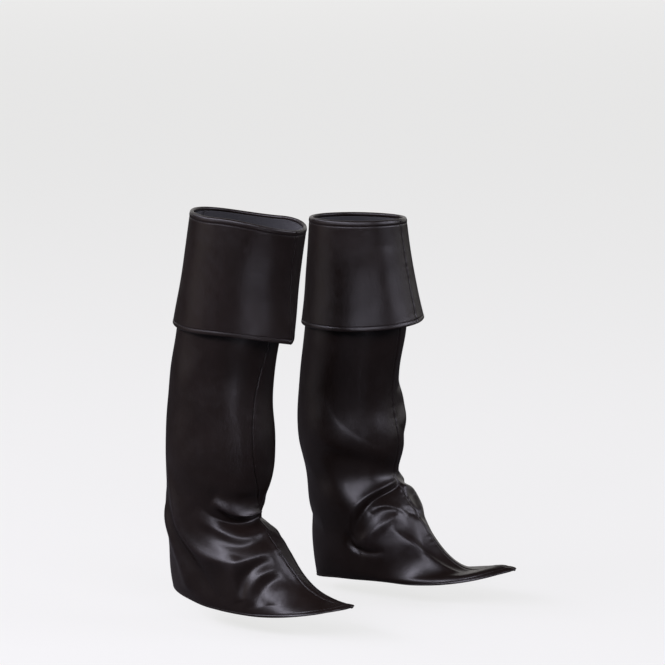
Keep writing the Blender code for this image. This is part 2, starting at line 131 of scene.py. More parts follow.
leftCover = {
    "at": (76.0, 240.0),
    "turned": 1.0,
    "shaft": [
        section(-59, 62, 63, 63, 502, 502, 503, 2, 2.0, 2.0, 0),
        section(-64, 64, 65, 65, 440, 440, 440, 0, 2.0, 2.0, 0),
        section(-68.5, 66, 67, 67, 365, 365, 365, 0, 2.0, 2.0, 0),
        section(-76, 57, 67, 67, 308, 308, 308, 0, 2.0, 2.0, 0),
        section(-80.5, 56, 68, 68, 255, 255, 255, 0, 2.0, 2.0, 0),
        section(-79, 64, 68, 68, 205, 205, 205, 0, 2.0, 2.0, 0),
        section(-70, 58, 60, 62, 170, 168, 166, 0, 2.0, 2.0, 0),
        section(-66, 75, 62.5, 61, 132, 132, 138, 0, 2.0, 2.0, 0),
        section(-64, 100, 58, 58, 98, 93, 106, 0, 2.0, 2.0, 0),
        section(-62, 127, 55, 55, 62, 58, 72, 0, 1.9, 2.0, 0),
        section(-61, 174, 53, 53, 38, 38, 49, 0, 1.8, 2.0, 0),
        section(-60, 217, 51, 51, 23, 32, 59, 0, 1.75, 2.0, 0),
        section(-60, 240, 49, 49, 16, 29, 57, 0, 1.7, 2.0, 0),
    ],
    "cuff": [
        section(-62.5, 65.5, 66.5, 66.5, 505, 505, 506, 2, 2.0, 2.0, 0),
        section(-67, 76, 70, 70, 440, 440, 440, -2, 2.0, 2.0, 0),
        section(-73.5, 92, 79, 79, 367, 370, 371, -5, 2.0, 2.0, 0),
    ],
    "folds": [
        fold("slack crease", [(-88, 210), (-83, 234), (-74, 257), (-58, 275), (-39, 290), (0, 308)],
             16, 4, -0.7, 1.7),
        fold("slack roll", [(-132, 280), (-76, 292), (-36, 300), (4, 314)], 16, 16, 0.9, 2.0),
        fold("tuck above the ankle", [(-122, 300), (-92, 304), (-68, 310), (-34, 322), (12, 336)],
             12, 16, -3.0, 1.9),
        fold("swell beside the ankle", [(-136, 306), (-116, 326), (-98, 352), (-87, 378), (-82, 398)],
             24, 14, 3.6, 2.0),
        fold("roll above the ankle", [(6, 345), (-20, 353), (-44, 362), (-64, 375), (-77, 392), (-88, 418)],
             22, 4.5, 2.5, 1.6),
        fold("edge of the roll", [(6, 343), (-20, 351), (-44, 360), (-64, 373), (-77, 390), (-86, 412)],
             5, 3.5, 2.2, 1.5),
        fold("ankle crease", [(6, 354), (-16, 359), (-45, 369), (-66, 386), (-85, 415)], 3, 6, -6.0, 1.0),
        fold("instep pleat", [(-56, 386), (-46, 380), (-34, 381), (-26, 387), (-16, 398)], 7, 4, 3.0, 1.7),
        fold("upper instep roll", [(-24, 393), (-38, 398), (-54, 405), (-72, 419), (-87, 434)],
             8, 16, 5.2, 1.7),
        fold("pinch", [(-84, 412), (-90, 424), (-89, 432), (-81, 438), (-60, 438)], 4, 5, -4.0, 1.7),
        fold("instep swell", [(-80, 430), (-60, 436), (-42, 440), (-24, 444)], 20, 26, 4.5, 2.0),
        fold("instep rib", [(-46, 408), (-38, 424), (-31, 443), (-27, 463), (-24, 492)], 6, 13, 6.0, 1.5),
        fold("heel shade", [(-118, 316), (-102, 342), (-92, 370), (-87, 404)], 14, 10, -2.2, 2.0),
        fold("front slack", [(22, 222), (29, 247), (17, 282)], 12, 12, 6.0, 2.0),
        fold("front roll", [(-6, 356), (10, 362), (27, 376), (24, 390), (6, 403)], 9, 8, 6.4, 1.9),
        fold("crease under the front roll", [(-24, 388), (-16, 392), (-2, 402), (12, 414)], 5, 6, -2.0, 1.8),
        fold("outer tuck above the ankle", [(14, 336), (56, 330), (104, 346)], 12, 13, -4.2, 1.9),
        fold("outer roll above the ankle", [(34, 352), (66, 364), (106, 392)], 13, 6, 5.6, 1.7),
        fold("outer ankle crease", [(38, 380), (66, 384), (108, 412)], 7, 7, -5.2, 1.8),
        fold("outer instep roll", [(24, 404), (56, 408), (98, 438)], 9, 9, 4.4, 1.8),
        fold("outer instep valley", [(22, 426), (46, 432), (82, 460)], 8, 8, -3.2, 1.8),
        fold("outer side rib", [(34, 430), (44, 462), (56, 500)], 9, 9, 3.6, 1.8),
        fold("outer slack crease", [(78, 222), (62, 262), (24, 304)], 15, 12, -3.0, 1.6),
        fold("back crease", [(176, 352), (152, 372), (122, 368)], 13, 11, -3.2, 1.9),
        fold("inner heel crease", [(-168, 392), (-148, 412), (-120, 410)], 12, 11, -2.6, 1.9),
    ],
    "cuffFolds": [
        fold("flat at the inner side", [(-78, 8), (-70, 70), (-76, 132)], 22, 22, -1.2, 2.0),
        fold("soft round", [(-30, 30), (-34, 80), (-28, 128)], 18, 18, 1.0, 2.0),
        fold("flat at the outer side", [(70, 8), (78, 70), (66, 132)], 24, 24, -1.5, 2.0),
    ],
    "ridge": (404.0, 470.0, 1.0),
}


def unit(vectors):
    return vectors / np.linalg.norm(vectors, axis=-1, keepdims=True)


def sectionPoints(row, turns):
    turned = turns + math.radians(row.seam) * 0.5 * (1 + np.cos(turns))
    cos, sin = np.cos(turned), np.sin(turned)
    middle = (row.front + row.back) / 2
    halfLength = (row.front - row.back) / 2
    halfWidth = np.where(sin < 0, row.right, row.left)
    point = 2 / np.where(cos > 0, row.nose, row.tail)
    endHeight = np.where(cos > 0, row.zFront, row.zBack)
    x = middle + halfLength * cos
    y = halfWidth * np.sign(sin) * np.abs(sin) ** point
    z = row.zSide + (endHeight - row.zSide) * cos ** 2 - row.lean * sin
    return np.stack([x, y, z], axis=-1)


# Share of each knot in a natural cubic curve at the given places
def curveShares(knots, places):
    count = len(knots)
    gaps = np.diff(knots)
    system = np.eye(count)
    load = np.zeros((count, count))
    for i in range(1, count - 1):
        system[i, i - 1:i + 2] = gaps[i - 1], 2 * (gaps[i - 1] + gaps[i]), gaps[i]
        load[i, i - 1:i + 2] = 6 / gaps[i - 1], -6 / gaps[i - 1] - 6 / gaps[i], 6 / gaps[i]
    bend = np.linalg.solve(system, load)
    low = np.clip(np.searchsorted(knots, places) - 1, 0, count - 2)
    gap = gaps[low][:, None]
    after = (places - knots[low])[:, None] / gap
    before = 1 - after
    shares = before * np.eye(count)[low] + after * np.eye(count)[low + 1]
    curving = (before ** 3 - before) * bend[low] + (after ** 3 - after) * bend[low + 1]
    return shares + curving * gap ** 2 / 6


def makeTube(rows):
    ring = np.linspace(0, 2 * math.pi, cloth["ringPlaces"])
    rings = np.array([sectionPoints(row, ring) for row in rows])
    steps = np.linalg.norm(np.diff(rings, axis=0), axis=2).mean(axis=1)
    knots = np.concatenate([[0.0], np.cumsum(steps)])
    return {"rows": rows, "knots": knots, "depth": knots[-1]}


def tubePoints(tube, turns, downs):
    shape = turns.shape
    turns, downs = turns.ravel(), downs.ravel()
    rings = np.array([sectionPoints(row, turns) for row in tube["rows"]])
    shares = curveShares(tube["knots"], downs)
    return np.einsum("nk,knc->nc", shares, rings).reshape(shape + (3,))


# Outward direction all over a grid of points
def outwardOf(points):
    return unit(np.cross(np.gradient(points, axis=0), np.gradient(points, axis=1)))


# How far one fold lifts each point of the cloth
def foldLift(points, outward, tube, crease):
    places = np.array(crease.places, float)
    steps = np.linalg.norm(np.diff(places, axis=0), axis=1)
    knots = np.concatenate([[0.0], np.cumsum(steps)])
    path = curveShares(knots, np.linspace(0, knots[-1], cloth["foldPlaces"])) @ places
    line = tubePoints(tube, np.radians(path[:, 0]), path[:, 1])
    reach = cloth["foldReach"] * max(crease.above, crease.below)
    near = np.all((points > line.min(axis=0) - reach) & (points < line.max(axis=0) + reach), axis=-1)
    lift = np.zeros(points.shape[:2])
    if not near.any():
        return lift
    spots, facing = points[near], outward[near]
    steps = np.diff(line, axis=0)
    along = ((spots[:, None] - line[:-1]) * steps).sum(axis=-1) / (steps ** 2).sum(axis=-1)
    along = along.clip(0, 1)
    apart = spots[:, None] - (line[:-1] + along[..., None] * steps)
    away = np.linalg.norm(apart, axis=-1)
    nearest = away.argmin(axis=-1)
    each = np.arange(len(spots))
    apart, away = apart[each, nearest], away[each, nearest]
    across = np.cross(facing, steps[nearest])
    side = (apart * across).sum(axis=-1) * np.sign(across[:, 2].mean())
    width = np.where(side > 0, crease.above, crease.below)
    place = (nearest + along[each, nearest]) / len(steps)
    # it fades towards both its ends
    strength = 1 - np.abs(2 * place - 1) ** 3
    lift[near] = crease.height * strength * np.exp(-(away / width) ** crease.power)
    return lift


# Soft dents of worn cloth are slow waves that cross each other. Each has a length along x, y
# and z, a height and a start.
dent = namedtuple("dent", "x y z height start")
dents = {
    "waves": [
        dent(150, 260, 95, 0.30, 0.4),
        dent(90, -120, 140, 0.22, 2.1),
        dent(-70, 85, 60, 0.15, 4.0),
        dent(48, 70, -52, 0.08, 1.2),
    ],
    "panelFrom": 60.0,  # how far below the top edge they are at their full height
    "cuffFrom": 40.0,
    "cuffShare": 0.45,  # the cuff is two layers thick and dents less
}


def dentLift(points, share):
    lift = np.zeros(points.shape[:2])
    for wave in dents["waves"]:
        place = points[..., 0] / wave.x + points[..., 1] / wave.y + points[..., 2] / wave.z
        lift += wave.height * np.sin(2 * math.pi * place + wave.start)
    return lift * share


seams = {
    "groove": 0.9,  # depth where the two edges turn in
    "grooveWidth": 1.1,
    "allowance": 0.35,  # swelling over the turned-in edges beneath
    "allowanceAt": 4.5,
    "allowanceWidth": 2.6,
    "pucker": 0.22,
    "puckerReach": 7.0,
    "puckerStep": 10.5,
    "puckerDrift": (1.7, 0.31),  # how far the puckers stray from even steps, and how slowly
    "puckerFade": (0.4, 0.17),  # how much they come and go, and how slowly
    "puckerStarts": {"front": 0.4, "backRight": 1.0, "backLeft": 3.0, "cuffFront": 1.4, "cuffBack": 3.1},
    "ridgeWidth": 5.0,
    "ridgeStarts": (-14, 6),  # where a standing ridge begins and is full, from its given start
    "ridgeEnds": (-10, 16),
}


# A round hump, 1 on its line and nearly gone at twice its width
def hump(away, width):
    return np.exp(-(away / width) ** 2)


def smoothStep(values, low, high):
    share = np.clip((values - low) / (high - low), 0, 1)
    return share * share * (3 - 2 * share)


# What a seam does to the cloth beside it
def seamLift(fromSeam, downs, start):
    lift = seams["allowance"] * hump(fromSeam - seams["allowanceAt"], seams["allowanceWidth"])
    lift -= seams["groove"] * hump(fromSeam, seams["grooveWidth"])
    place = 2 * math.pi * downs / seams["puckerStep"] + start
    (drift, driftRate), (fade, fadeRate) = seams["puckerDrift"], seams["puckerFade"]
    uneven = np.sin(place + drift * np.sin(place * driftRate))
    uneven *= 1 - fade + fade * np.sin(place * fadeRate + 1)
    lift += seams["pucker"] * uneven * hump(fromSeam, seams["puckerReach"])
    return lift


# The front seam of a loose ankle stands up between two depths
def ridgeLift(fromSeam, downs, ridge):
    start, finish, height = ridge
    begins, full = seams["ridgeStarts"]
    falls, gone = seams["ridgeEnds"]
    standing = smoothStep(downs, start + begins, start + full)
    standing *= 1 - smoothStep(downs, finish + falls, finish + gone)
    return height * standing * hump(fromSeam, seams["ridgeWidth"])


# Grid over part of a tube, its columns spaced by real distance and close beside the seams
def clothGrid(tube, firstTurn, lastTurn, downs):
    probe = np.radians(np.linspace(firstTurn, lastTurn, cloth["rowPlaces"]))
    turnGrid, downGrid = np.meshgrid(probe, downs)
    ring = tubePoints(tube, turnGrid, downGrid)
    steps = np.linalg.norm(np.diff(ring, axis=1), axis=-1)
    run = np.concatenate([np.zeros((len(downs), 1)), np.cumsum(steps, axis=1)], axis=1)
    beside = np.array(cloth["besideSeam"])
    share = np.linspace(0, 1, cloth["columns"] + 1)[1:-1]
    turns, across = [], []
    for row in range(len(downs)):
        length = run[row, -1]
        between = beside[-1] + (length - 2 * beside[-1]) * share
        places = np.concatenate([beside, between, (length - beside)[::-1]])
        turns.append(np.interp(places, run[row], probe))
        across.append(places)
    turns, across = np.array(turns), np.array(across)
    toLast = run[:, -1:] - across
    downGrid = np.repeat(np.asarray(downs)[:, None], turns.shape[1], axis=1)
    return {
        "turns": turns,
        "downs": downGrid,
        "across": across,
        "fromFront": toLast if lastTurn == 0 else across,
        "fromBack": across if lastTurn == 0 else toLast,
        "points": tubePoints(tube, turns, downGrid),
    }


def toFrame(points, cover):
    turn = math.radians(cover["turned"])
    cos, sin = math.cos(turn), math.sin(turn)
    x = cos * points[..., 0] - sin * points[..., 1] + cover["at"][0]
    y = sin * points[..., 0] + cos * points[..., 1] + cover["at"][1]
    return (np.stack([x, y, points[..., 2]], axis=-1) - np.array(heldAt)) * millimetre


# Depths of the rows, given as (from, to, step) stretches
def rowsDown(stretches):
    downs = [stretches[0][0]]
    for start, end, step in stretches:
        count = max(1, round((end - start) / step))
        downs.extend(np.linspace(start, end, count + 1)[1:])
    return np.array(downs)


# Mesh data from a finished bmesh
def meshFrom(name, mesh):
    data = bpy.data.meshes.new(name)
    mesh.to_mesh(data)
    mesh.free()
    return data


def addObject(name, data):
    piece = bpy.data.objects.new(name, data)
    bpy.context.scene.collection.objects.link(piece)
    return piece


# Cloth shell through a grid of points. It carries its thickness, its place on the flat cut
# and how far the folds lift it.
def clothShell(name, points, lift, thick, spread, materials):
    rows, columns = points.shape[:2]
    mesh = bmesh.new()
    bmesh.ops.create_grid(mesh, x_segments=columns - 1, y_segments=rows - 1, size=1)
    bmesh.ops.reverse_faces(mesh, faces=mesh.faces)
    for index, vertex in enumerate(mesh.verts):
        vertex.co = points[index // columns, index % columns]
    data = meshFrom(name, mesh)
    data.shade_smooth()
    crest = data.attributes.new("crest", "FLOAT", "POINT")
    crest.data.foreach_set("value", lift.astype(np.float32).ravel())
    corners = np.zeros(len(data.loops), np.int32)
    data.loops.foreach_get("vertex_index", corners)
    uv = data.uv_layers.new(name="cloth")
    uv.uv.foreach_set("vector", spread.reshape(-1, 2)[corners].astype(np.float32).ravel())
    for material in materials:
        data.materials.append(material)
    piece = addObject(name, data)
    group = piece.vertex_groups.new(name="thickness")
    shares = (thick / cloth["hemWall"]).ravel()
    for share in np.unique(np.round(shares, 3)):
        group.add([int(i) for i in np.nonzero(np.round(shares, 3) == share)[0]], float(share), "REPLACE")
    wall = piece.modifiers.new("wall", "SOLIDIFY")
    wall.thickness = cloth["hemWall"] * millimetre
    wall.offset = -1
    wall.vertex_group = "thickness"
    wall.use_quality_normals = True
    wall.material_offset = 1
    wall.material_offset_rim = 0
    return piece


# Hems: where they are stitched, how far the turned edge swells, how deep the stitches pull and
# how far the very edge rolls in
footHem = {"stitchUp": 7.0, "swell": 0.2, "swellWidth": 2.6, "dip": 0.35, "dipWidth": 1.0, "roll": 0.9}
cuffHem = {"stitchUp": 5.5, "swell": 0.2, "swellWidth": 2.2, "dip": 0.25, "dipWidth": 0.9, "roll": 1.0}
cuffRim = {
    "stitchDown": 5.0,
    "swell": 0.4,
    "swellWidth": 2.0,
    "dip": 0.35,
    "dipWidth": 0.9,
    "arcSteps": 9,
    "slopeDepth": 3.0,  # the shaft's slope is taken over this much below its edge
    "slopeRows": 3,  # and the cuff's over so many of its rows
}

# Steps between the rows of the grid, close at the folds, the stitches and the edges
rowSteps = {
    "panel": [(0, 10, 1.5), (10, 200, 3.2), (200, 330, 2.4), (330, 440, 1.5)],  # from, to, step
    "panelLow": (440, 1.4, 1.0),  # from, step above the hem's stitches, step below them
    "cuffTop": 0.8,
    "cuffLow": (2.6, 0.9),  # step above the hem's stitches, step below them
    "stitches": 0.5,
    "nearStitches": 3.0,  # how far above and below the hem's stitches the rows are close
    "nearRim": 2.5,  # the same for the stitches under the cuff's rim
    "edge": 0.4,
    "roll": 1.5,  # height of the rolled edge of a hem
}


# Close rows about a hem's stitches and at its edge
def hemRows(start, stitchLine, end, step, stepBelow):
    above, below = stitchLine - rowSteps["nearStitches"], stitchLine + rowSteps["nearStitches"]
    edge = end - rowSteps["roll"]
    return [(start, above, step), (above, below, rowSteps["stitches"]), (below, edge, stepBelow),
            (edge, end, rowSteps["edge"])]


def hemLift(fromEdge, hem):
    lift = hem["swell"] * hump(fromEdge - hem["stitchUp"] / 2, hem["swellWidth"])
    lift -= hem["dip"] * hump(fromEdge - hem["stitchUp"], hem["dipWidth"])
    return lift - hem["roll"] * (1 - smoothStep(fromEdge, 0, rowSteps["roll"])) ** 2


# Thickness of the cloth: doubled from the edge to just above the hem's stitches
def hemThickness(fromEdge, hem):
    return np.where(fromEdge < hem["stitchUp"] + 1, cloth["hemWall"], cloth["wall"])


def makePanel(name, cover, firstTurn, lastTurn, materials):
    tube = makeTube(cover["shaft"])
    end = tube["depth"]
    stitchLine = end - footHem["stitchUp"]
    lowStart, step, stepBelow = rowSteps["panelLow"]
    downs = rowsDown(rowSteps["panel"] + hemRows(lowStart, stitchLine, end, step, stepBelow))
    grid = clothGrid(tube, firstTurn, lastTurn, downs)
    points, down = grid["points"], grid["downs"]
    outward = outwardOf(points)
    folds = sum(foldLift(points, outward, tube, crease) for crease in cover["folds"])
    lift = folds + dentLift(points, smoothStep(down, 0, dents["panelFrom"]))
    lift += ridgeLift(grid["fromFront"], down, cover["ridge"])
    starts = seams["puckerStarts"]
    lift += seamLift(grid["fromFront"], down, starts["front"])
    lift += seamLift(grid["fromBack"], down, starts["backRight" if lastTurn == 0 else "backLeft"])
    fromEdge = end - down
    lift += hemLift(fromEdge, footHem)
    placed = toFrame(points + lift[..., None] * outward, cover)
    spread = np.stack([grid["across"], down], axis=-1) * millimetre
    piece = clothShell(name, placed, folds, hemThickness(fromEdge, footHem), spread, materials)
    row = int(np.abs(downs - stitchLine).argmin())
    return piece, placed[row], outwardOf(placed)[row]


# Strip from the shaft's top edge up and over in a half circle to the cuff's first row
def rimStrip(shaft, turns, hanging, hangingOut):
    edge = tubePoints(shaft, turns, np.zeros_like(turns))[0]
    below = tubePoints(shaft, turns, np.full_like(turns, cuffRim["slopeDepth"]))[0]
    edgeOut = unit(np.cross(below - edge, np.gradient(edge, axis=0)))
    base = edge - edgeOut * cloth["wall"] / 2
    rise = unit(hanging[0] - hanging[cuffRim["slopeRows"]])
    foldOut = hanging[0] - hangingOut * cloth["wall"] / 2
    span = foldOut - base
    span -= (span * rise).sum(axis=-1, keepdims=True) * rise
    foldIn = foldOut - span
    radius = np.linalg.norm(span, axis=-1, keepdims=True) / 2
    aside = unit(span)
    centre = (foldIn + foldOut) / 2
    strip = [base + rise * seamGap - aside * cloth["wall"] / 2, foldIn - aside * cloth["wall"] / 2]
    for angle in np.linspace(math.pi, 0, cuffRim["arcSteps"] + 1)[1:-1]:
        spoke = aside * math.cos(angle) + rise * math.sin(angle)
        strip.append(centre + spoke * (radius + cloth["wall"] / 2))
    return np.array(strip)


def makeCuffHalf(name, cover, firstTurn, lastTurn, materials):
    shaft, cuff = makeTube(cover["shaft"]), makeTube(cover["cuff"])
    end = cuff["depth"]
    rimLine, hemLine = cuffRim["stitchDown"], end - cuffHem["stitchUp"]
    rimStart, rimEnd = rimLine - rowSteps["nearRim"], rimLine + rowSteps["nearRim"]
    downs = rowsDown(
        [(0, rimStart, rowSteps["cuffTop"]), (rimStart, rimEnd, rowSteps["stitches"])]
        + hemRows(rimEnd, hemLine, end, *rowSteps["cuffLow"])
    )
    grid = clothGrid(cuff, firstTurn, lastTurn, downs)
    points, down = grid["points"], grid["downs"]
    outward = outwardOf(points)
    folds = sum(foldLift(points, outward, cuff, crease) for crease in cover["cuffFolds"])
    lift = folds + dentLift(points, dents["cuffShare"] * smoothStep(down, 0, dents["cuffFrom"]))
    starts = seams["puckerStarts"]
    lift += seamLift(grid["fromFront"], down, starts["cuffFront"])
    lift += seamLift(grid["fromBack"], down, starts["cuffBack"])
    lift += cuffRim["swell"] * hump(down - rimLine / 2, cuffRim["swellWidth"])
    lift -= cuffRim["dip"] * hump(down - rimLine, cuffRim["dipWidth"])
    lift += hemLift(end - down, cuffHem)
    strip = rimStrip(shaft, grid["turns"][:1], points, outward[0])
    count = len(strip)
    points = np.concatenate([strip, points + lift[..., None] * outward])
    placed = toFrame(points, cover)
    beforeRim = -np.linalg.norm(np.diff(points[:count + 1], axis=0), axis=-1)[::-1].cumsum(axis=0)[::-1]
    length = np.concatenate([beforeRim, down])
    folds = np.concatenate([np.zeros((count, folds.shape[1])), folds])
    around = np.concatenate([np.repeat(grid["across"][:1], count, axis=0), grid["across"]])
    spread = np.stack([around, length], axis=-1) * millimetre
    piece = clothShell(name, placed, folds, hemThickness(end - length, cuffHem), spread, materials)
    facing = outwardOf(placed)
    lines = []
    for line in (rimLine, hemLine):
        row = count + int(np.abs(downs - line).argmin())
        lines.append((placed[row], facing[row]))
    return piece, lines


stitch = {
    "length": 3.0,
    "step": 4.1,
    "thickness": 0.55,
    "above": 0.05,  # from the cloth to the middle of the thread
    "reach": 1.0,  # the cloth's direction is taken so far before and behind
    "margin": 3.0,  # from a seam to the middle of the first stitch
    "spare": 4.0,  # taken off a row's length before its stitches are counted
    "sides": 6,
    "rings": 4,
}


# Stitches along rows of cloth, each a small capsule laid along its row
def makeStitches(name, lines, material):
    mesh = bmesh.new()
    radius = stitch["thickness"] / 2 * millimetre
    size = Matrix.Diagonal((radius, radius, stitch["length"] / 2 * millimetre, 1))
    for points, outward in lines:
        steps = np.linalg.norm(np.diff(points, axis=0), axis=-1) / millimetre
        run = np.concatenate([[0.0], np.cumsum(steps)])
        count = int((run[-1] - stitch["spare"]) / stitch["step"])
        for place in np.linspace(stitch["margin"], run[-1] - stitch["margin"], count):
            ends = [np.array([np.interp(place + reach, run, points[:, i]) for i in range(3)])
                    for reach in (-stitch["reach"], stitch["reach"])]
            out = np.array([np.interp(place, run, outward[:, i]) for i in range(3)])
            along, out = unit(ends[1] - ends[0]), unit(out)
            across = np.cross(out, along)
            middle = (ends[0] + ends[1]) / 2 + out * stitch["above"] * millimetre
            turn = Matrix((across, out, along)).transposed().to_4x4()
            bmesh.ops.create_uvsphere(
                mesh, u_segments=stitch["sides"], v_segments=stitch["rings"], radius=1.0,
                matrix=Matrix.Translation(Vector(middle)) @ turn @ size,
            )
    data = meshFrom(name, mesh)
    data.shade_smooth()
    data.materials.append(material)
    return addObject(name, data)


# Inputs of a shader node: a socket is linked and anything else is a value
def giveInputs(tree, node, inputs):
    for name, value in inputs.items():
        if isinstance(value, bpy.types.NodeSocket):
            tree.links.new(value, node.inputs[name])
        else:
            node.inputs[name].default_value = value


def addNode(tree, kind, inputs, **settings):
    node = tree.nodes.new(kind)
    for name, value in settings.items():
        setattr(node, name, value)
    giveInputs(tree, node, inputs)
    return node


def newGroup(name, inputs, outputs):
    group = bpy.data.node_groups.new(name, "ShaderNodeTree")
    for label, kind in inputs.items():
        group.interface.new_socket(label, in_out="INPUT", socket_type="NodeSocket" + kind)
    for label, kind in outputs.items():
        group.interface.new_socket(label, in_out="OUTPUT", socket_type="NodeSocket" + kind)
    return group, group.nodes.new("NodeGroupInput").outputs, group.nodes.new("NodeGroupOutput").inputs


# Fine pebbled grain: flat cells parted by narrow valleys, with a little roughness on top
pebbles = {"valley": 0.28, "finePerMetre": 2400.0, "fineDetail": 2.0, "fineShare": 0.25}


def grainGroup():
    group, given, result = newGroup(
        "fineGrain", {"Vector": "Vector", "Per metre": "Float"}, {"Height": "Float"})
    cells = addNode(group, "ShaderNodeTexVoronoi", {"Vector": given["Vector"], "Scale": given["Per metre"]},
                    feature="DISTANCE_TO_EDGE")
    pebble = addNode(group, "ShaderNodeMapRange", {
        "Value": cells.outputs["Distance"], "From Max": pebbles["valley"]}, interpolation_type="SMOOTHSTEP")
    fine = addNode(group, "ShaderNodeTexNoise", {
        "Vector": given["Vector"], "Scale": pebbles["finePerMetre"], "Detail": pebbles["fineDetail"]})
    mix = addNode(group, "ShaderNodeMath", {
        0: fine.outputs["Fac"], 1: pebbles["fineShare"], 2: pebble.outputs["Result"]},
        operation="MULTIPLY_ADD")
    group.links.new(mix.outputs[0], result["Height"])
    return group


# Slow clouds over the cloth, for tone and for gloss
cloudiness = {
    "broad": {"Detail": 3.0, "Roughness": 0.55},
    "small": {"Detail": 4.0, "Roughness": 0.6},
    "smallPerBroad": 5.5,
    "from": 0.3,  # the part of the noise that is spread out from nothing to all
    "to": 0.7,
}


def cloudGroup():
    group, given, result = newGroup(
        "clouds", {"Vector": "Vector", "Per metre": "Float"}, {"Broad": "Float", "Small": "Float"})
    finer = addNode(group, "ShaderNodeMath", {0: given["Per metre"], 1: cloudiness["smallPerBroad"]},
                    operation="MULTIPLY")
    for name, scale in (("Broad", given["Per metre"]), ("Small", finer.outputs[0])):
        noise = addNode(group, "ShaderNodeTexNoise", {
            "Vector": given["Vector"], "Scale": scale, **cloudiness[name.lower()]})
        spread = addNode(group, "ShaderNodeMapRange", {
            "Value": noise.outputs["Fac"], "From Min": cloudiness["from"], "From Max": cloudiness["to"]})
        group.links.new(spread.outputs["Result"], result[name])
    return group


# Knitted backing: rows of small loops
loop = {"rows": 1.35, "sway": 0.9}  # rows to a column, and how far each column sways from row to row


def knitGroup():
    group, given, result = newGroup(
        "knit", {"Vector": "Vector", "Loops per metre": "Float"}, {"Height": "Float"})
    parts = addNode(group, "ShaderNodeSeparateXYZ", {"Vector": given["Vector"]})
    angle = addNode(group, "ShaderNodeMath", {0: given["Loops per metre"], 1: 2 * math.pi},
                    operation="MULTIPLY").outputs[0]
    waves = []
    for axis, share in (("X", 1.0), ("Y", loop["rows"])):
        turn = addNode(group, "ShaderNodeMath", {0: parts.outputs[axis], 1: angle}, operation="MULTIPLY")
        turn = addNode(group, "ShaderNodeMath", {0: turn.outputs[0], 1: share}, operation="MULTIPLY")
        waves.append(turn.outputs[0])
    bend = addNode(group, "ShaderNodeMath", {0: waves[1]}, operation="SINE")
    column = addNode(group, "ShaderNodeMath", {0: bend.outputs[0], 1: loop["sway"], 2: waves[0]},
                     operation="MULTIPLY_ADD")
    column = addNode(group, "ShaderNodeMath", {0: column.outputs[0]}, operation="SINE")
    height = addNode(group, "ShaderNodeMath", {0: column.outputs[0], 1: 0.5, 2: 0.5},
                     operation="MULTIPLY_ADD")
    group.links.new(height.outputs[0], result["Height"])
    return group


grain, clouds, knit = grainGroup(), cloudGroup(), knitGroup()


def newMaterial(name):
    material = bpy.data.materials.new(name)
    material.use_nodes = True
    return material, material.node_tree, material.node_tree.nodes["Principled BSDF"]


def useGroup(tree, group, inputs):
    node = tree.nodes.new("ShaderNodeGroup")
    node.node_tree = group
    giveInputs(tree, node, inputs)
    return node


# A ramp from one colour to another
def addRamp(tree, share, dark, light):
    ramp = addNode(tree, "ShaderNodeValToRGB", {"Fac": share})
    ramp.color_ramp.elements[0].color = dark
    ramp.color_ramp.elements[1].color = light
    return ramp.outputs["Color"]


def addBump(tree, shader, height, strength, depth):
    bump = addNode(tree, "ShaderNodeBump", {"Height": height, "Strength": strength, "Distance": depth})
    tree.links.new(bump.outputs["Normal"], shader.inputs["Normal"])


# The colour socket of that name, where a mix node also has one for plain numbers
def colourSocket(sockets, name):
    return [socket for socket in sockets if socket.name == name and socket.type == "RGBA"][0]


def mixColours(tree, factor, first, second):
    mix = addNode(tree, "ShaderNodeMix", {"Factor": factor}, data_type="RGBA")
    for name, colour in (("A", first), ("B", second)):
        socket = colourSocket(mix.inputs, name)
        if isinstance(colour, bpy.types.NodeSocket):
            tree.links.new(colour, socket)
        else:
            socket.default_value = colour
    return colourSocket(mix.outputs, "Result")


leather = {
    "dark": (0.0082, 0.0046, 0.0034, 1),
    "light": (0.0135, 0.0082, 0.0066, 1),
    "rubbed": (0.024, 0.019, 0.020, 1),
    "rubbedFrom": 2.0,  # height of a fold where its crest starts to look rubbed
    "rubbedFull": 6.0,
    "rubbing": 0.5,
    "roughLow": 0.31,
    "roughHigh": 0.4,
    "grainPerMetre": 950.0,
    "grainDepth": 0.00005,
    "grainStrength": 0.4,
    "cloudsPerMetre": 14.0,
    "bending": 1.5,  # of light in its glossy coat
}


def makeLeather():
    material, tree, shader = newMaterial("blackFauxLeather")
    place = addNode(tree, "ShaderNodeTexCoord", {}).outputs["Object"]
    cloud = useGroup(tree, clouds, {"Vector": place, "Per metre": leather["cloudsPerMetre"]})
    crest = addNode(tree, "ShaderNodeAttribute", {}, attribute_name="crest")
    rub = addNode(tree, "ShaderNodeMapRange", {
        "Value": crest.outputs["Fac"], "From Min": leather["rubbedFrom"],
        "From Max": leather["rubbedFull"], "To Max": leather["rubbing"]})
    rubbing = addNode(tree, "ShaderNodeMath", {0: rub.outputs["Result"], 1: cloud.outputs["Small"]},
                      operation="MULTIPLY")
    tone = mixColours(tree, cloud.outputs["Broad"], leather["dark"], leather["light"])
    shade = mixColours(tree, rubbing.outputs[0], tone, leather["rubbed"])
    tree.links.new(shade, shader.inputs["Base Color"])
    gloss = addNode(tree, "ShaderNodeMapRange", {
        "Value": cloud.outputs["Small"], "To Min": leather["roughLow"], "To Max": leather["roughHigh"]})
    tree.links.new(gloss.outputs["Result"], shader.inputs["Roughness"])
    fine = useGroup(tree, grain, {"Vector": place, "Per metre": leather["grainPerMetre"]})
    addBump(tree, shader, fine.outputs["Height"], leather["grainStrength"], leather["grainDepth"])
    shader.inputs["IOR"].default_value = leather["bending"]
    return material


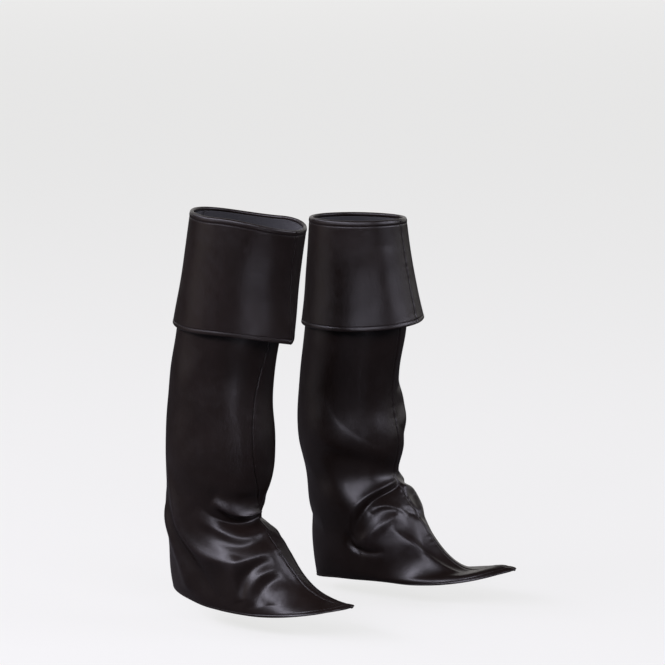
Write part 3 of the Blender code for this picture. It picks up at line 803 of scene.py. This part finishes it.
backing = {
    "dark": (0.010, 0.010, 0.011, 1),
    "light": (0.045, 0.044, 0.047, 1),
    "loopsPerMetre": 900.0,
    "bump": 0.8,
    "depth": 0.0002,
    "rough": 0.85,
    "sheen": 0.25,
}


def makeBacking():
    material, tree, shader = newMaterial("charcoalKnitBacking")
    spread = addNode(tree, "ShaderNodeUVMap", {}, uv_map="cloth").outputs["UV"]
    loops = useGroup(tree, knit, {"Vector": spread, "Loops per metre": backing["loopsPerMetre"]})
    tone = addRamp(tree, loops.outputs["Height"], backing["dark"], backing["light"])
    tree.links.new(tone, shader.inputs["Base Color"])
    addBump(tree, shader, loops.outputs["Height"], backing["bump"], backing["depth"])
    shader.inputs["Roughness"].default_value = backing["rough"]
    shader.inputs["Sheen Weight"].default_value = backing["sheen"]
    return material


thread = {
    "dark": (0.010, 0.009, 0.009, 1),
    "light": (0.035, 0.032, 0.033, 1),
    "twist": {"Scale": 700.0, "Distortion": 1.5},
    "bump": 0.7,
    "depth": 0.0001,
    "rough": 0.6,
}


def makeThread():
    material, tree, shader = newMaterial("blackThread")
    place = addNode(tree, "ShaderNodeTexCoord", {}).outputs["Object"]
    twist = addNode(tree, "ShaderNodeTexWave", {"Vector": place, **thread["twist"]},
                    bands_direction="DIAGONAL")
    tone = addRamp(tree, twist.outputs["Fac"], thread["dark"], thread["light"])
    tree.links.new(tone, shader.inputs["Base Color"])
    addBump(tree, shader, twist.outputs["Fac"], thread["bump"], thread["depth"])
    shader.inputs["Roughness"].default_value = thread["rough"]
    return material


blackLeather, knitBacking, blackThread = makeLeather(), makeBacking(), makeThread()
print("materials made")

# Each half of a cover: the solids its panel and its cuff replace, and its turns
halves = {
    "rightOuter": ("right_outer_panel", "right_cuff_outer", rightCover, -180, 0),
    "rightInner": ("right_inner_panel", "right_cuff_inner", rightCover, 0, 180),
    "leftInner": ("left_inner_panel", "left_cuff_inner", leftCover, -180, 0),
    "leftOuter": ("left_outer_panel", "left_cuff_outer", leftCover, 0, 180),
}

# Size of each cut laid flat in metres, with the area of its shape
cuts = {
    "rightOuterPanel": (0.28, 0.56, 0.115),
    "rightInnerPanel": (0.28, 0.56, 0.122),
    "leftInnerPanel": (0.28, 0.56, 0.114),
    "leftOuterPanel": (0.28, 0.56, 0.114),
    "rightOuterCuff": (0.27, 0.165, 0.039),
    "rightInnerCuff": (0.27, 0.165, 0.038),
    "leftInnerCuff": (0.27, 0.155, 0.036),
    "leftOuterCuff": (0.27, 0.155, 0.034),
}
skins = (blackLeather, knitBacking)
stitchLines = {"right": {"foot": [], "cuff": []}, "left": {"foot": [], "cuff": []}}
for half, (panelNode, cuffNode, cover, firstTurn, lastTurn) in halves.items():
    side = "right" if half.startswith("right") else "left"
    panel, footLine, footOut = makePanel(half + "Panel", cover, firstTurn, lastTurn, skins)
    cuff, cuffLines = makeCuffHalf(half + "Cuff", cover, firstTurn, lastTurn, skins)
    stitchLines[side]["foot"].append((footLine, footOut))
    stitchLines[side]["cuff"].extend(cuffLines)
    for piece, node in ((panel, panelNode), (cuff, cuffNode)):
        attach(piece, "root")
        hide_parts(node)
    print(half, "panel and cuff made")

for side, lines in stitchLines.items():
    for place, hems in lines.items():
        piece = makeStitches(f"{side}{place.capitalize()}Stitches", hems, blackThread)
        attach(piece, "root")
print("stitches made")

for name, (width, length, area) in cuts.items():
    side = "right" if name.startswith("right") else "left"

# Studio: a pale floor, a row of softboxes high up, a warm fill, a low panel and white paper.
# Lengths are in metres. A turn is counted from the wearer's right towards the toes, and a
# rise from the level.
studio = {
    "middle": (0.0, 0.0, -0.25),
    "cool": (0.86, 0.84, 1.0),
    "warm": (1.0, 0.88, 0.82),
    "cream": (1.0, 0.97, 0.95),
    "shown": (0.93, 0.93, 0.935, 1),  # what the camera sees behind the covers
    "ambient": (0.031, 0.029, 0.032, 1),  # what lights them from all round
}
floorPaper = {
    "size": 60.0,
    # pale: the paper's colour, also the middle of a painted pool of light seen only in gloss; far: the
    # painted darker floor beyond the pool; then where the pool lies and the radii over which it fades
    "pale": (0.18, 0.174, 0.178, 1),
    "far": (0.06, 0.06, 0.063, 1),
    "paintedPoolAt": (-0.5, -0.15, 0.0),
    "paintedPoolRadius": (0.3, 1.1),
    "shown": (0.76, 0.76, 0.755, 1),
    "rough": 0.9,
}
banks = {"away": 4.0, "height": 1.0}
bankRow = {  # turn, rise, width, strength
    "farBank": (-70, 32, 3.6, 5.0),
    "leftBank": (-18, 32, 3.9, 9.6),
    "middleBank": (35, 31, 3.9, 5.8),
    "rightBank": (114, 25, 2.8, 6.2),
}
papers = {  # turn, rise, distance, width, height, strength
    "paperBehind": (211, 15, 15.0, 22.0, 7.4, 0.8),
    "paperBeside": (150, 9, 6.0, 5.0, 1.6, 0.55),
}
fill = {"place": (-3.3, -2.3, 0.12), "aimedAt": (0, -0.1, -0.1), "size": (3.0, 1.24), "strength": 0.38}
lowPanel = {
    "place": (1.09, -0.74, -0.34),
    "aimedAt": (-0.03, -0.12, -0.07),
    "size": (0.32, 0.34),
    "strength": 0.055,
    "spread": 14.0,
}
view = {
    "turn": 31.0,
    "rise": 9.0,
    "distance": 4.5,
    "lookAt": (0.035, 0.0127, -0.1481),
    "lens": 187.4,
    "sensor": 36,
    "far": 200,
}


def directionTo(turn, rise):
    turn, rise = math.radians(turn), math.radians(rise)
    return Vector((math.sin(turn) * math.cos(rise), -math.cos(turn) * math.cos(rise), math.sin(rise)))


def makeFloor():
    mesh = bmesh.new()
    bmesh.ops.create_grid(mesh, x_segments=1, y_segments=1, size=floorPaper["size"] / 2,
                          matrix=Matrix.Translation((0, 0, -heldAt[2] * millimetre)))
    floor = addObject("floor", meshFrom("floor", mesh))
    material, tree, shader = newMaterial("palePaper")
    shader.inputs["Roughness"].default_value = floorPaper["rough"]
    shader.inputs["Specular IOR Level"].default_value = 0.0
    # the camera sees even pale paper, and the gloss sees a painted pool of light on it behind the covers:
    # there its colour is painted pale, and it is painted darker further off
    place = addNode(tree, "ShaderNodeTexCoord", {}).outputs["Object"]
    away = addNode(tree, "ShaderNodeVectorMath", {0: place, 1: floorPaper["paintedPoolAt"]}, operation="DISTANCE")
    paintedPoolEdge = addNode(tree, "ShaderNodeMapRange", {
        "Value": away.outputs["Value"], "From Min": floorPaper["paintedPoolRadius"][0],
        "From Max": floorPaper["paintedPoolRadius"][1]}, interpolation_type="SMOOTHSTEP")
    seen = addNode(tree, "ShaderNodeLightPath", {}).outputs["Is Camera Ray"]
    hidden = addNode(tree, "ShaderNodeMath", {0: 1.0, 1: seen}, operation="SUBTRACT")
    paintedPoolFade = addNode(tree, "ShaderNodeMath", {0: paintedPoolEdge.outputs["Result"], 1: hidden.outputs[0]},
                  operation="MULTIPLY")
    tone = addRamp(tree, paintedPoolFade.outputs[0], floorPaper["pale"], floorPaper["far"])
    tree.links.new(tone, shader.inputs["Base Color"])
    shown = addRamp(tree, seen, (0, 0, 0, 1), floorPaper["shown"])
    tree.links.new(shown, shader.inputs["Emission Color"])
    shader.inputs["Emission Strength"].default_value = 1.0
    floor.data.materials.append(material)


def makeWorld():
    world = bpy.data.worlds.new("studio")
    bpy.context.scene.world = world
    world.use_nodes = True
    tree = world.node_tree
    seen = addNode(tree, "ShaderNodeLightPath", {}).outputs["Is Camera Ray"]
    tone = addRamp(tree, seen, studio["ambient"], studio["shown"])
    tree.links.new(tone, tree.nodes["Background"].inputs["Color"])


def addSoftbox(name, place, aimedAt, size, radiance, colour):
    width, height = size
    light = bpy.data.lights.new(name, "AREA")
    light.shape = "RECTANGLE"
    light.size, light.size_y = width, height
    light.energy = radiance * math.pi * width * height
    light.color = colour
    box = addObject(name, light)
    box.location = place
    box.rotation_mode = "QUATERNION"
    box.rotation_quaternion = (Vector(place) - Vector(aimedAt)).to_track_quat("Z", "Y")
    return light


def makeLights():
    middle = Vector(studio["middle"])
    for name, (turn, rise, width, strength) in bankRow.items():
        place = middle + banks["away"] * directionTo(turn, rise)
        addSoftbox(name, place, middle, (width, banks["height"]), strength, studio["cool"])
    addSoftbox("warmFill", fill["place"], fill["aimedAt"], fill["size"], fill["strength"], studio["warm"])
    for name, (turn, rise, away, width, height, strength) in papers.items():
        place = middle + away * directionTo(turn, rise)
        addSoftbox(name, place, middle, (width, height), strength, studio["cream"])
    panel = addSoftbox("lowPanel", lowPanel["place"], lowPanel["aimedAt"], lowPanel["size"],
                       lowPanel["strength"], studio["cool"])
    panel.spread = math.radians(lowPanel["spread"])


def makeCamera():
    lens = bpy.data.cameras.new("camera")
    lens.lens = view["lens"]
    lens.sensor_width = view["sensor"]
    lens.clip_end = view["far"]
    camera = addObject("camera", lens)
    away = directionTo(view["turn"], view["rise"])
    camera.location = Vector(view["lookAt"]) + away * view["distance"]
    camera.rotation_mode = "QUATERNION"
    camera.rotation_quaternion = away.to_track_quat("Z", "Y")
    bpy.context.scene.camera = camera


makeFloor()
makeWorld()
makeLights()
makeCamera()
bpy.context.scene.view_settings.view_transform = "Standard"
print("studio ready")
